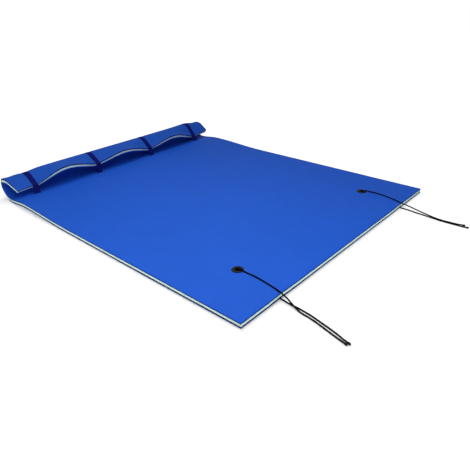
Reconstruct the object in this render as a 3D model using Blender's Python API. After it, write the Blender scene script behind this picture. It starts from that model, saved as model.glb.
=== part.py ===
"""Foam floating mat, ready for use on the water.

Three bonded foam layers make one long sheet. Its far end is folded back over a curl as a pillow,
and four webbing straps, each a sewn loop through a slit in the sheet, hold the flap down, so that
its free edge bows up between them. Two grommets near the other end carry a doubled tie cord each.

Sizes are metres. +X runs across the mat, +Y from the tie cords to the pillow, +Z up.
"""

import math

import bmesh
import bpy
from mathutils import Matrix, Vector

# Running gap between pieces that touch
SKIN_GAP = 0.0003

# The laminated sheet, from the underside up
MAT_WIDTH = 1.83
DECK_LENGTH = 2.065
BOTTOM_LAYER = 0.010
CORE_LAYER = 0.012
TOP_LAYER = 0.008

# The curl and the flap, as sizes of the sheet's middle line
TOE_RADIUS = 0.105
TOE_TURN = math.radians(72)
CROWN_RADIUS = 0.0435
FLAP_LENGTH = 0.130
FLAP_BEND_SHARE = 0.4
FLAP_DROOP = math.radians(35)

# How far the flap droops at its left end, at each strap and at its right end, as shares
DROOP_SHARES = (1.18, 1.00, 0.74, 1.00, 1.31, 1.00)

# How far each bay of the free edge rises again, as shares; the two overhangs don't rise
BAY_LIFT_SHARES = (0.0, 1.04, 0.77, 0.76, 0.0)
BAY_FULLNESS = 1.15

# How far the free corners draw in, as shares of the flap's length
DRAW_IN_SHARES = (0.28, 0.06)

# The low swell of the deck in front of the pillow, where the straps draw the sheet up
SWELL_RISE = 0.0175
SWELL_RUN = 0.52
SWELL_FALL = 0.19

# Webbing straps
STRAP_WIDTH = 0.038
STRAP_THICKNESS = 0.002
STRAP_INSET = 0.1605
STRAP_COUNT = 4
SLIT_PLAY = 0.001
SLIT_LEAD = 0.0137
LAP_SHARES = (0.40, 0.95)
LAP_RAMP_SHARE = 0.03

# Grommets, placed from the mat's two sides and from its cord end
GROMMET_INSETS = (0.303, 0.281)
GROMMET_SETBACK = 0.284
GROMMET_BORE = 0.031
GROMMET_WALL = 0.002
GROMMET_FLANGE = 0.062
FLANGE_HEIGHT = 0.004
WASHER_HEIGHT = 0.0014

# Tie cords and the caps crimped on their ends
CORD_DIAMETER = 0.0076
CORD_BEND = 0.0155
CHANNEL_RUN_OUT = 0.013
CORD_SPACING = 0.0175
CHANNEL_PLAY = 0.0008
CAP_DIAMETER = 0.0108
CAP_LENGTH = 0.0135

# The cap's outline from the cord outwards, as shares of its length and of its radius
CAP_OUTLINE_SHARES = (
    (0.0, 0.86), (0.07, 1.0), (0.38, 1.0), (0.5, 0.88), (0.62, 1.0), (0.85, 0.97), (0.96, 0.82), (1.0, 0.6),
)

# Facets across the sheet, along each of its stretches, and round the small pieces
BAY_CELLS = 7
OVERHANG_CELLS = 3
SWELL_CELLS = 5
DIP_CELLS = 3
TOE_CELLS = 5
CROWN_CELLS = 7
FLAP_CELLS = 6
CORNER_STEPS = 3
GROMMET_SIDES = 28
DOME_STEPS = 6
BEND_STEPS = 4
CURVE_STEPS = 24
ROOF_STEPS = 8
CAP_SIDES = 16
SHARP_ABOVE = math.radians(35)

# Values worked out from the sizes above
SHEET = BOTTOM_LAYER + CORE_LAYER + TOP_LAYER
STRAP_ROOM = SKIN_GAP + STRAP_THICKNESS / 2
TOE_LIFT = STRAP_THICKNESS + 2 * SKIN_GAP
CURL_REACH = TOE_RADIUS * math.sin(TOE_TURN) + CROWN_RADIUS * (1 - math.sin(TOE_TURN))
BACK_REACH = CURL_REACH + SHEET / 2 + SKIN_GAP + STRAP_THICKNESS
OVERALL_LENGTH = DECK_LENGTH + BACK_REACH
CORD_RADIUS = CORD_DIAMETER / 2
CORD_ON_FLOOR = CORD_RADIUS + SKIN_GAP
CORD_ON_MAT = SHEET + CORD_RADIUS + SKIN_GAP
ON_FLANGE = SHEET + FLANGE_HEIGHT + 2 * SKIN_GAP + CORD_RADIUS
CAP_LEVEL = CAP_DIAMETER / 2 + SKIN_GAP


def polar(length, angle):
    """A step of this length along a heading in the plane of Y and Z."""
    return Vector((length * math.cos(angle), length * math.sin(angle)))


def swell(y):
    """Height of the underside above the floor along the deck, and its slope there."""
    peak = DECK_LENGTH - SWELL_FALL
    if y >= peak:
        low, rise, share, run = TOE_LIFT, SWELL_RISE - TOE_LIFT, (DECK_LENGTH - y) / SWELL_FALL, -SWELL_FALL
    else:
        low, rise, share, run = 0.0, SWELL_RISE, 1 + (y - peak) / SWELL_RUN, SWELL_RUN
    share = max(0.0, share)
    height = low + rise * (1 - math.cos(math.pi * share)) / 2
    slope = rise * math.pi * math.sin(math.pi * share) / 2 / run
    return height, slope


def middle(stretch, place, droop):
    """Point and heading of the sheet's middle line. place is a Y on the deck, else a share of the stretch."""
    if stretch == "deck":
        height, slope = swell(place)
        return Vector((place, SHEET / 2 + height)), math.atan(slope)
    toe_centre = Vector((DECK_LENGTH, SHEET / 2 + TOE_LIFT + TOE_RADIUS))
    if stretch == "toe":
        turn = TOE_TURN * place
        return toe_centre + polar(TOE_RADIUS, turn - math.pi / 2), turn
    crown_centre = toe_centre + polar(TOE_RADIUS - CROWN_RADIUS, TOE_TURN - math.pi / 2)
    if stretch == "crown":
        turn = TOE_TURN + (math.pi - TOE_TURN) * place
        return crown_centre + polar(CROWN_RADIUS, turn - math.pi / 2), turn
    # The flap bends down over its first share, then runs straight to the free edge
    bent = min(place, FLAP_BEND_SHARE)
    half_turn = droop * bent / FLAP_BEND_SHARE / 2
    chord = FLAP_LENGTH * bent
    if abs(half_turn) > math.ulp(1):
        chord *= math.sin(half_turn) / half_turn
    crown_top = crown_centre + Vector((0, CROWN_RADIUS))
    heading = math.pi + 2 * half_turn
    point = crown_top + polar(chord, math.pi + half_turn) + polar(FLAP_LENGTH * (place - bent), heading)
    return point, heading


def section(stretch, place, droop, height):
    """Point of the section at this height above the sheet's underside, measured square to the sheet."""
    centre, heading = middle(stretch, place, droop)
    return centre + polar(height - SHEET / 2, heading + math.pi / 2)


def flap_corner(droop):
    """Where the flap's outer face ends."""
    return section("flap", 1, droop, 0)


def strap_places():
    """The X of each strap's middle."""
    outermost = MAT_WIDTH / 2 - STRAP_INSET
    return spread(-outermost, outermost, STRAP_COUNT - 1)


def slit_half_width():
    return STRAP_WIDTH / 2 + SLIT_PLAY


def slit_rows():
    """The two rows of the deck that bound the slits, just in front of the flap's edge."""
    run = flap_corner(FLAP_DROOP).x - SLIT_LEAD
    half = STRAP_THICKNESS / 2 + SLIT_PLAY
    return ("deck", run - half), ("deck", run + half)


def spread(start, end, cells):
    """Evenly spaced values from start to end, both included."""
    return [start + (end - start) * step / cells for step in range(cells + 1)]


def sheet_rows():
    """Every row of facets along the sheet, from the cord end to the free edge of the flap."""
    peak = DECK_LENGTH - SWELL_FALL
    front, back = (place for _, place in slit_rows())
    deck = [0.0]
    deck += spread(peak - SWELL_RUN, peak, SWELL_CELLS)
    deck += spread(peak, front, DIP_CELLS)[1:]
    deck += spread(back, DECK_LENGTH, DIP_CELLS)
    rows = [("deck", place) for place in deck]
    quarter = (math.pi / 2 - TOE_TURN) / (math.pi - TOE_TURN)
    rows += [("toe", place) for place in spread(0, 1, TOE_CELLS)[1:]]
    rows += [("crown", place) for place in [quarter] + spread(quarter, 1, CROWN_CELLS)[1:]]
    rows += [("flap", place) for place in spread(0, 1, FLAP_CELLS)[1:]]
    return rows


def sheet_columns():
    """Every column of facets across the sheet: its X, and its bay with the share of it crossed there.

    The bays lie between the straps, and the first and the last are the two overhangs.
    """
    edges = [-MAT_WIDTH / 2]
    for place in strap_places():
        edges += [place - slit_half_width(), place + slit_half_width()]
    edges.append(MAT_WIDTH / 2)
    columns = []
    for bay in range(STRAP_COUNT + 1):
        left, right = edges[2 * bay], edges[2 * bay + 1]
        cells = OVERHANG_CELLS if bay in (0, STRAP_COUNT) else BAY_CELLS
        columns += [(left + (right - left) * share, (bay, share)) for share in spread(0, 1, cells)]
    return columns


def droop_at(held):
    """The flap's whole bend at an end or a strap, counted from the left end."""
    return FLAP_DROOP * DROOP_SHARES[held]


def droop_in(bay):
    """The flap's whole bend at a column: it goes from strap to strap, less in the middle of a bay."""
    number, share = bay
    level = droop_at(number) * (1 - share) + droop_at(number + 1) * share
    lift = max(0.0, math.sin(math.pi * share)) ** BAY_FULLNESS
    return level * (1 - BAY_LIFT_SHARES[number] * lift)


def drawn_in(x, stretch, place):
    """X of a point: the free corners of the flap draw in towards the outermost straps."""
    if stretch != "flap":
        return x
    places = strap_places()
    for side, strap, share in zip((-1, 1), (places[0], places[-1]), DRAW_IN_SHARES):
        beyond = (x - strap) * side - slit_half_width()
        if beyond > 0:
            return x - side * FLAP_LENGTH * share * place * beyond / (STRAP_INSET - slit_half_width())
    return x


def at(x, point):
    """A point of the section as a point of the part, whose origin is under the middle of its box."""
    return Vector((x, point.x - OVERALL_LENGTH / 2, point.y))


def material(name, colour, roughness, metallic=0.0):
    made = bpy.data.materials.new(name)
    made.use_nodes = True
    shader = made.node_tree.nodes["Principled BSDF"]
    shader.inputs["Base Color"].default_value = (*colour, 1)
    shader.inputs["Roughness"].default_value = roughness
    shader.inputs["Metallic"].default_value = metallic
    return made


def new_object(name, bm, finish):
    """Turns a finished bmesh into an object of the scene, smooth but for its real edges."""
    mesh = bpy.data.meshes.new(name)
    bm.to_mesh(mesh)
    bm.free()
    mesh.materials.append(finish)
    made = bpy.data.objects.new(name, mesh)
    bpy.context.scene.collection.objects.link(made)
    mesh.shade_smooth()
    mesh.set_sharp_from_angle(angle=SHARP_ABOVE)
    return made


def foam_layer(name, low, high, finish):
    """One layer of the sheet, from height low to height high above the underside, with its slits."""
    bm = bmesh.new()
    rows, columns = sheet_rows(), sheet_columns()
    slit_row = rows.index(slit_rows()[0])
    slit_columns = [
        number for number in range(len(columns) - 1)
        if any(abs((columns[number][0] + columns[number + 1][0]) / 2 - place) < slit_half_width()
               for place in strap_places())
    ]
    grid = [
        [
            [
                bm.verts.new(at(drawn_in(x, *row), section(*row, droop_in(bay), height)))
                for x, bay in columns
            ]
            for row in rows
        ]
        for height in (low, high)
    ]

    def is_foam(row, column):
        inside = 0 <= row < len(rows) - 1 and 0 <= column < len(columns) - 1
        return inside and not (row == slit_row and column in slit_columns)

    for row in range(len(rows) - 1):
        for column in range(len(columns) - 1):
            if not is_foam(row, column):
                continue
            corners = ((row, column), (row, column + 1), (row + 1, column + 1), (row + 1, column))
            upper = [grid[1][i][j] for i, j in corners]
            lower = [grid[0][i][j] for i, j in corners]
            # Both skins split their cells along the same diagonal, so neighbouring layers stay parallel
            for a, b, c in ((0, 1, 2), (0, 2, 3)):
                bm.faces.new((upper[a], upper[b], upper[c]))
                bm.faces.new((lower[c], lower[b], lower[a]))
            beyond = ((row - 1, column), (row, column + 1), (row + 1, column), (row, column - 1))
            for side, neighbour in enumerate(beyond):
                if not is_foam(*neighbour):
                    after = (side + 1) % 4
                    bm.faces.new((lower[side], lower[after], upper[after], upper[side]))
    return new_object(name, bm, finish)


def cut(target, cutter):
    """Takes the cutter's space out of the target."""
    cutter.hide_render = True
    cutter.display_type = "WIRE"
    cutter.parent = target
    modifier = target.modifiers.new(cutter.name, "BOOLEAN")
    modifier.operation = "DIFFERENCE"
    modifier.solver = "EXACT"
    modifier.object = cutter


def round_cutter(name, centre, radius):
    """An upright cylinder through the whole sheet."""
    bm = bmesh.new()
    bmesh.ops.create_cone(
        bm, cap_ends=True, segments=GROMMET_SIDES, radius1=radius, radius2=radius,
        depth=3 * SHEET, matrix=Matrix.Translation(centre),
    )
    return new_object(name, bm, cutter_finish)


def channel_cutter(name, start, end):
    """A channel with a rounded roof, from under the grommet out past the edge of the mat."""
    bm = bmesh.new()
    half = CORD_RADIUS + CHANNEL_PLAY
    along = (end - start).normalized()
    across = Vector((along.y, -along.x, 0))
    shoulder = CORD_ON_FLOOR
    outline = [Vector((-half, -SHEET)), Vector((half, -SHEET))]
    outline += [
        Vector((half * math.cos(turn), shoulder + half * math.sin(turn)))
        for turn in spread(0, math.pi, ROOF_STEPS)
    ]
    profile = bm.faces.new([bm.verts.new(start + across * point.x + Vector((0, 0, point.y)))
                            for point in outline])
    ends = bmesh.ops.extrude_face_region(bm, geom=[profile])["geom"]
    moved = [item for item in ends if isinstance(item, bmesh.types.BMVert)]
    bmesh.ops.translate(bm, verts=moved, vec=end - start)
    bmesh.ops.recalc_face_normals(bm, faces=bm.faces)
    return new_object(name, bm, cutter_finish)


def strap_line(droop):
    """A strap's middle line in its own plane: points, and whether each lies on the sewn lap."""
    front, back = (place for _, place in slit_rows())
    slit = (front + back) / 2
    under = [row for row in sheet_rows() if row[0] != "deck" or row[1] > back]
    lap_start, lap_end = LAP_SHARES
    lap_rows = [("toe", share) for share in (
        lap_start, lap_start + LAP_RAMP_SHARE, lap_end - LAP_RAMP_SHARE, lap_end)]
    order = {"deck": 0, "toe": 1, "crown": 2, "flap": 3}
    under = sorted(set(under + lap_rows), key=lambda row: (order[row[0]], row[1]))
    line = [(section("deck", slit, droop, -STRAP_ROOM), False)]
    for row in under:
        doubled = row[0] == "toe" and lap_start + LAP_RAMP_SHARE <= row[1] <= lap_end - LAP_RAMP_SHARE
        line.append((section(*row, droop, -STRAP_ROOM), doubled))
    # Round the outer corner of the flap's cut edge, then straight down into the slit
    corner, mouth = flap_corner(droop), section("deck", slit, droop, SHEET)
    drop = mouth - corner
    lean = math.atan2(drop.x, -drop.y) + math.asin(STRAP_ROOM / drop.length)
    for turn in spread(math.pi / 2 + droop, math.pi + lean, CORNER_STEPS)[1:]:
        line.append((corner + polar(STRAP_ROOM, turn), False))
    line.append((mouth, False))
    return line


def strap(name, x, droop, finish):
    """A closed loop of webbing, doubled where its ends are sewn together behind the roll."""
    bm = bmesh.new()
    line = strap_line(droop)
    rings = []
    for number, (point, doubled) in enumerate(line):
        before = (point - line[number - 1][0]).normalized()
        after = (line[(number + 1) % len(line)][0] - point).normalized()
        across = before + after
        mitre = Vector((across.y, -across.x)).normalized()
        reach = STRAP_THICKNESS / 2 / mitre.dot(Vector((after.y, -after.x)))
        outer = point + mitre * (reach + (STRAP_THICKNESS if doubled else 0))
        inner = point - mitre * reach
        half = STRAP_WIDTH / 2
        corners = ((x - half, outer), (x + half, outer), (x + half, inner), (x - half, inner))
        rings.append([bm.verts.new(at(*corner)) for corner in corners])
    for ring, following in zip(rings, rings[1:] + rings[:1]):
        for side in range(4):
            after = (side + 1) % 4
            bm.faces.new((ring[side], ring[after], following[after], following[side]))
    bmesh.ops.recalc_face_normals(bm, faces=bm.faces)
    return new_object(name, bm, finish)


def turned(name, outline, centre, sides, finish):
    """A closed outline of (radius, height) points turned about an upright axis."""
    bm = bmesh.new()
    points = [bm.verts.new(centre + Vector((radius, 0, height))) for radius, height in outline]
    edges = [bm.edges.new((a, b)) for a, b in zip(points, points[1:] + points[:1])]
    bmesh.ops.spin(
        bm, geom=points + edges, cent=centre, axis=Vector((0, 0, 1)),
        angle=math.tau, steps=sides, use_merge=True,
    )
    bmesh.ops.recalc_face_normals(bm, faces=bm.faces)
    return new_object(name, bm, finish)


def grommet_flange(name, centre, finish):
    """The upper half: a domed flange on the deck, with the barrel that goes down through the foam."""
    bore, outer = GROMMET_BORE / 2, GROMMET_FLANGE / 2
    seat, foot = SHEET + SKIN_GAP, BOTTOM_LAYER - WASHER_HEIGHT - SKIN_GAP
    lip = FLANGE_HEIGHT / 2
    outline = [(bore + GROMMET_WALL, foot), (bore + GROMMET_WALL, seat), (outer - lip / 2, seat)]
    # The dome falls from a rounded inner lip to a thin outer rim
    ring = (outer - bore) / 2
    outline += [
        (bore + ring - ring * math.cos(turn), seat + lip / 2 + (FLANGE_HEIGHT - lip / 2) * math.sin(turn))
        for turn in spread(math.pi, 0, DOME_STEPS)
    ]
    outline.append((bore, foot))
    return turned(name, outline, centre, GROMMET_SIDES, finish)


def grommet_washer(name, centre, finish):
    """The lower half: a flat ring round the barrel's foot, let into the bottom layer."""
    bore = GROMMET_BORE / 2 + GROMMET_WALL + SKIN_GAP
    outer = GROMMET_FLANGE / 2
    top = BOTTOM_LAYER - SKIN_GAP
    ease = WASHER_HEIGHT / 4
    foot = top - WASHER_HEIGHT
    outline = [
        (bore, foot), (outer - ease, foot), (outer, foot + ease),
        (outer, top - ease), (outer - ease, top), (bore, top),
    ]
    return turned(name, outline, centre, GROMMET_SIDES, finish)


def grommet_places():
    """The point of the deck's underside below each grommet, left and right."""
    y = GROMMET_SETBACK - OVERALL_LENGTH / 2
    left, right = GROMMET_INSETS
    return [Vector((left - MAT_WIDTH / 2, y, 0)), Vector((MAT_WIDTH / 2 - right, y, 0))]


def cord_start(upper, towards):
    """A strand's first stretch: straight out of the bore's middle, then bent over its rim."""
    level = ON_FLANGE if upper else CORD_ON_FLOOR
    side = 1 if upper else -1
    join = (ON_FLANGE + CORD_ON_FLOOR) / 2 + side * SKIN_GAP / 2
    points = [Vector((0, 0, join))]
    for turn in spread(0, math.pi / 2, BEND_STEPS):
        out = CORD_BEND * (1 - math.cos(turn))
        height = level - side * CORD_BEND * (1 - math.sin(turn))
        points.append(towards * out + Vector((0, 0, height)))
    return points


def smooth_through(points):
    """A Catmull-Rom curve through the points, as closely spaced places along it."""
    padded = [2 * points[0] - points[1]] + points + [2 * points[-1] - points[-2]]
    fine = []
    for p0, p1, p2, p3 in zip(padded, padded[1:], padded[2:], padded[3:]):
        for t in spread(0, 1, CURVE_STEPS)[:-1]:
            fine.append(0.5 * (
                2 * p1 + (p2 - p0) * t + (2 * p0 - 5 * p1 + 4 * p2 - p3) * t**2
                + (3 * p1 - p0 - 3 * p2 + p3) * t**3
            ))
    return fine + [points[-1]]


def spaced(fine, spacing):
    """Points of a fine line, an even step apart."""
    length = sum((b - a).length for a, b in zip(fine, fine[1:]))
    steps = max(2, round(length / spacing))
    picked, walked, wanted = [fine[0]], 0.0, 1
    for a, b in zip(fine, fine[1:]):
        gap = (b - a).length
        while wanted < steps and walked + gap >= length * wanted / steps:
            share = (length * wanted / steps - walked) / gap
            picked.append(a.lerp(b, share))
            wanted += 1
        walked += gap
    return picked + [fine[-1]]


def cord(name, centre, upper, route, finish):
    """One strand of a tie cord, from the bore of its grommet to its end cap."""
    towards = Vector((route[0][0], route[0][1], 0)).normalized()
    start = [centre + point for point in cord_start(upper, towards)]
    free = [centre + Vector(point) for point in route]
    line = start + spaced(smooth_through([start[-1]] + free)[CURVE_STEPS:], CORD_SPACING)
    curve = bpy.data.curves.new(name, "CURVE")
    curve.dimensions = "3D"
    curve.bevel_depth = CORD_RADIUS
    curve.bevel_resolution = 2
    curve.use_fill_caps = True
    spline = curve.splines.new("POLY")
    spline.points.add(len(line) - 1)
    for place, point in zip(spline.points, line):
        place.co = (*point, 1)
    curve.materials.append(finish)
    made = bpy.data.objects.new(name, curve)
    bpy.context.scene.collection.objects.link(made)
    length = sum((b - a).length for a, b in zip(line, line[1:]))
    print(f"{name}: {length:.3f} m of cord")
    return line


def end_cap(name, line, finish):
    """The cap on a strand's end: a short round piece with a crimped groove round its middle."""
    along = (line[-1] - line[-2]).normalized()
    start = line[-1] + along * SKIN_GAP
    frame = along.to_track_quat("Z", "Y").to_matrix()
    bm = bmesh.new()
    loops = []
    for out, girth in CAP_OUTLINE_SHARES:
        radius = CAP_DIAMETER / 2 * girth
        loops.append([
            bm.verts.new(start + frame @ Vector((*polar(radius, turn), CAP_LENGTH * out)))
            for turn in spread(0, math.tau, CAP_SIDES)[:-1]
        ])
    for loop, following in zip(loops, loops[1:]):
        for side in range(CAP_SIDES):
            after = (side + 1) % CAP_SIDES
            bm.faces.new((loop[side], loop[after], following[after], following[side]))
    bm.faces.new(loops[0])
    bm.faces.new(loops[-1])
    bmesh.ops.recalc_face_normals(bm, faces=bm.faces)
    return new_object(name, bm, finish)


# Each strand's route past its grommet, as X and Y from the grommet's middle and a height
ROUTES = {
    "left_upper": [
        (0.003, -0.027, ON_FLANGE), (0.003, -0.048, CORD_ON_MAT), (0.001, -0.119, CORD_ON_MAT),
        (-0.008, -0.181, CORD_ON_MAT), (-0.019, -0.242, CORD_ON_MAT), (-0.030, -0.286, CORD_ON_MAT),
        (-0.034, -0.322, 0.0251), (-0.042, -0.357, 0.0146), (-0.050, -0.388, 0.0074),
        (-0.058, -0.419, CORD_ON_FLOOR), (-0.064, -0.469, CORD_ON_FLOOR), (-0.075, -0.521, CORD_ON_FLOOR),
        (-0.088, -0.573, CORD_ON_FLOOR), (-0.100, -0.621, CORD_ON_FLOOR), (-0.110, -0.662, CAP_LEVEL),
    ],
    "left_lower": [
        (-0.009, -0.085, CORD_ON_FLOOR), (-0.030, -0.288, CORD_ON_FLOOR), (-0.035, -0.325, CORD_ON_FLOOR),
        (-0.037, -0.357, CORD_ON_FLOOR), (-0.038, -0.390, CORD_ON_FLOOR), (-0.045, -0.456, CORD_ON_FLOOR),
        (-0.056, -0.509, CORD_ON_FLOOR), (-0.067, -0.559, CORD_ON_FLOOR), (-0.080, -0.610, CORD_ON_FLOOR),
        (-0.090, -0.641, CORD_ON_FLOOR), (-0.099, -0.671, CAP_LEVEL),
    ],
    "right_upper": [
        (0.013, -0.026, ON_FLANGE), (0.022, -0.046, CORD_ON_MAT), (0.025, -0.080, CORD_ON_MAT),
        (0.022, -0.115, CORD_ON_MAT), (0.012, -0.174, CORD_ON_MAT), (-0.009, -0.241, CORD_ON_MAT),
        (-0.026, -0.284, CORD_ON_MAT), (-0.033, -0.346, 0.0276), (-0.037, -0.405, 0.0191),
        (-0.040, -0.464, 0.0111), (-0.041, -0.506, 0.0061), (-0.043, -0.546, CORD_ON_FLOOR),
        (-0.042, -0.593, CORD_ON_FLOOR), (-0.038, -0.637, CORD_ON_FLOOR), (-0.036, -0.668, CAP_LEVEL),
    ],
    "right_lower": [
        (-0.008, -0.085, CORD_ON_FLOOR), (-0.027, -0.286, CORD_ON_FLOOR), (-0.031, -0.341, CORD_ON_FLOOR),
        (-0.039, -0.397, CORD_ON_FLOOR), (-0.043, -0.450, CORD_ON_FLOOR), (-0.050, -0.498, CORD_ON_FLOOR),
        (-0.056, -0.551, CORD_ON_FLOOR), (-0.056, -0.598, CORD_ON_FLOOR), (-0.055, -0.644, CORD_ON_FLOOR),
        (-0.054, -0.670, CORD_ON_FLOOR), (-0.053, -0.693, CAP_LEVEL),
    ],
}

for leftover in list(bpy.data.objects):
    bpy.data.objects.remove(leftover, do_unlink=True)

deck_blue = material("deck_blue_foam", (0.018, 0.110, 0.610), 0.62)
core_pale = material("pale_green_foam", (0.665, 0.850, 0.585), 0.70)
under_blue = material("under_blue_foam", (0.010, 0.070, 0.510), 0.62)
webbing_navy = material("navy_webbing", (0.010, 0.014, 0.110), 0.75)
grommet_black = material("black_grommet", (0.012, 0.012, 0.012), 0.38)
cord_black = material("black_cord", (0.010, 0.010, 0.010), 0.80)
cap_black = material("black_end_cap", (0.012, 0.012, 0.012), 0.45)
cutter_finish = material("cutter", (0.8, 0.2, 0.2), 0.5)

layers = {
    "bottom_foam_layer": (0.0, BOTTOM_LAYER - SKIN_GAP, under_blue),
    "core_foam_layer": (BOTTOM_LAYER, BOTTOM_LAYER + CORE_LAYER - SKIN_GAP, core_pale),
    "top_foam_layer": (BOTTOM_LAYER + CORE_LAYER, SHEET, deck_blue),
}
sides = ("left", "right")
for layer_name, (low, high, finish) in layers.items():
    layer = foam_layer(layer_name, low, high, finish)
    for side, centre in zip(sides, grommet_places()):
        in_pocket = layer_name == "bottom_foam_layer"
        girth = GROMMET_FLANGE / 2 if in_pocket else GROMMET_BORE / 2 + GROMMET_WALL
        cut(layer, round_cutter(f"{side}_hole_{layer_name}", centre, girth + SKIN_GAP))
        if in_pocket:
            channel = Vector((*ROUTES[f"{side}_lower"][1][:2], 0))
            channel += channel.normalized() * CHANNEL_RUN_OUT
            cut(layer, channel_cutter(f"{side}_cord_channel", centre, centre + channel))

for number, place in enumerate(strap_places(), start=1):
    strap(f"pillow_strap_{number}", place, droop_at(number), webbing_navy)

for side, centre in zip(sides, grommet_places()):
    grommet_flange(f"{side}_grommet_flange", centre, grommet_black)
    grommet_washer(f"{side}_grommet_washer", centre, grommet_black)
    for strand in ("upper", "lower"):
        route = ROUTES[f"{side}_{strand}"]
        run = cord(f"{side}_cord_{strand}", centre, strand == "upper", route, cord_black)
        end_cap(f"{side}_end_cap_{strand}", run, cap_black)
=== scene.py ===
# %% [markdown]
# # A foam floating mat in a plain studio
#
# The mat is one long sheet of three bonded foam layers. Its far end is folded back as a pillow and
# held down by four webbing straps, and two elastic tie cords hang in grommets at the near end.
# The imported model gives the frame: every size below is in metres, +X runs across the mat, +Y from
# the cords to the pillow, +Z up, and the origin lies on the floor under the middle of the mat.

# %% The fixed frame
import math

import bmesh
import bpy
import numpy as np
from mathutils import Matrix, Vector


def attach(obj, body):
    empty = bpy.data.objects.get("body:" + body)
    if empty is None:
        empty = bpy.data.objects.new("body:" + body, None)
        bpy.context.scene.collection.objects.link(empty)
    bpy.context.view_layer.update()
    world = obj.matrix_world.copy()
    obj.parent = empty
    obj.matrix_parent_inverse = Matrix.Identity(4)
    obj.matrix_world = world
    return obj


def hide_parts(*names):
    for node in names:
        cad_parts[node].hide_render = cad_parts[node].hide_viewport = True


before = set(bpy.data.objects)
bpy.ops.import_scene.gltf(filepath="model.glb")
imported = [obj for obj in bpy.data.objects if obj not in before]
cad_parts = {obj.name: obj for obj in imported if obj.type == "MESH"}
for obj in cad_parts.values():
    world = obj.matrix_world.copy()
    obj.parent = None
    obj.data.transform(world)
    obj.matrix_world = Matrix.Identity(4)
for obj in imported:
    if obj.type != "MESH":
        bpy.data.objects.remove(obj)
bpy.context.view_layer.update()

print("nodes in the frame:", len(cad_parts))

# %% [markdown]
# ## The camera
#
# The photograph looks down on the mat from beyond its near left corner. Four straight edges of the
# mat give the place, the turn and the focal length of such a camera. Building the camera's axes from
# three plain angles, rather than aiming it at a point, keeps its slight roll.

# %% The camera
CAMERA_PLACE = Vector((-2.06314, -2.129255, 1.27879))
CAMERA_HEADING = math.radians(-47.4539)
CAMERA_DIP = math.radians(28.2465)
CAMERA_ROLL = math.radians(-1.8171)
SENSOR = 36.0
LENS = 36.005
CAMERA_REACH = 100.0


def placed(name, data):
    """A new object of this data, linked into the scene."""
    made = bpy.data.objects.new(name, data)
    bpy.context.scene.collection.objects.link(made)
    return made


camera_data = bpy.data.cameras.new("studio_camera")
camera_data.sensor_width = SENSOR
camera_data.sensor_fit = "HORIZONTAL"
camera_data.lens = LENS
camera_data.clip_end = CAMERA_REACH
camera = placed("studio_camera", camera_data)
bpy.context.scene.camera = camera
camera.matrix_world = (
    Matrix.Translation(CAMERA_PLACE)
    @ Matrix.Rotation(CAMERA_HEADING, 4, "Z")
    @ Matrix.Rotation(math.pi / 2 - CAMERA_DIP, 4, "X")
    @ Matrix.Rotation(CAMERA_ROLL, 4, "Z")
)
print("camera looks along", tuple(round(v, 3) for v in -camera.matrix_world.col[2].xyz))

# %% [markdown]
# ## Small helpers for recipes of colour
#
# Every finish below is a short chain of nodes: a texture in metres, a ramp or some arithmetic, and
# the inputs of one shader. A few helpers keep those chains readable.

# %% Helpers for material nodes
def finish(name, colour, roughness, **sockets):
    """A new material with one shader; constants go straight on the shader's own sockets."""
    made = bpy.data.materials.new(name)
    made.use_nodes = True
    shader = made.node_tree.nodes["Principled BSDF"]
    shader.inputs["Base Color"].default_value = (*colour, 1)
    shader.inputs["Roughness"].default_value = roughness
    for socket, value in sockets.items():
        shader.inputs[socket.replace("_", " ")].default_value = value
    return made, made.node_tree, shader


def add(tree, kind, links=None, **settings):
    """A new node. links maps its inputs to outputs or to plain values."""
    made = tree.nodes.new("ShaderNode" + kind)
    for setting, value in settings.items():
        setattr(made, setting, value)
    for socket, source in (links or {}).items():
        if isinstance(source, bpy.types.NodeSocket):
            tree.links.new(source, made.inputs[socket])
        else:
            made.inputs[socket].default_value = source
    return made


def maths(tree, operation, first, second=None):
    """One arithmetic step on outputs or plain values."""
    links = {0: first} if second is None else {0: first, 1: second}
    return add(tree, "Math", links, operation=operation).outputs[0]


def coloured(tree, shader, factor, low, high):
    """The shader's colour goes from low to high as the factor goes from 0 to 1."""
    ramp = add(tree, "ValToRGB", {"Fac": factor})
    for stop, colour in zip(ramp.color_ramp.elements, (low, high)):
        stop.color = (*colour, 1)
    tree.links.new(ramp.outputs["Color"], shader.inputs["Base Color"])


def roughened(tree, shader, factor, low, high):
    """The shader's roughness goes from low to high with the factor."""
    tree.links.new(ranged(tree, factor, low, high), shader.inputs["Roughness"])


def ranged(tree, value, low, high):
    """A value from 0 to 1 brought to the range from low to high."""
    return add(tree, "MapRange", {"Value": value, "To Min": low, "To Max": high}).outputs["Result"]


def raised(tree, shader, height, distance, strength=1.0):
    """A bump of that height, in metres at full height, on the shader."""
    bump = add(tree, "Bump", {"Height": height, "Distance": distance, "Strength": strength})
    tree.links.new(bump.outputs["Normal"], shader.inputs["Normal"])


# %% Helpers for where a texture lies
def metres(tree):
    """Places on the object, in metres."""
    return add(tree, "TexCoord").outputs["Object"]


def noise(tree, where, scale, detail, roughness=0.5):
    """Soft noise from 0 to 1, with that many grains to the metre."""
    links = {"Vector": where, "Scale": scale, "Detail": detail, "Roughness": roughness}
    return add(tree, "TexNoise", links).outputs["Fac"]


def own_map(tree):
    """A piece's own map: across and along it, in metres unless the piece says otherwise."""
    return add(tree, "UVMap", uv_map="UVMap").outputs["UV"]


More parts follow.
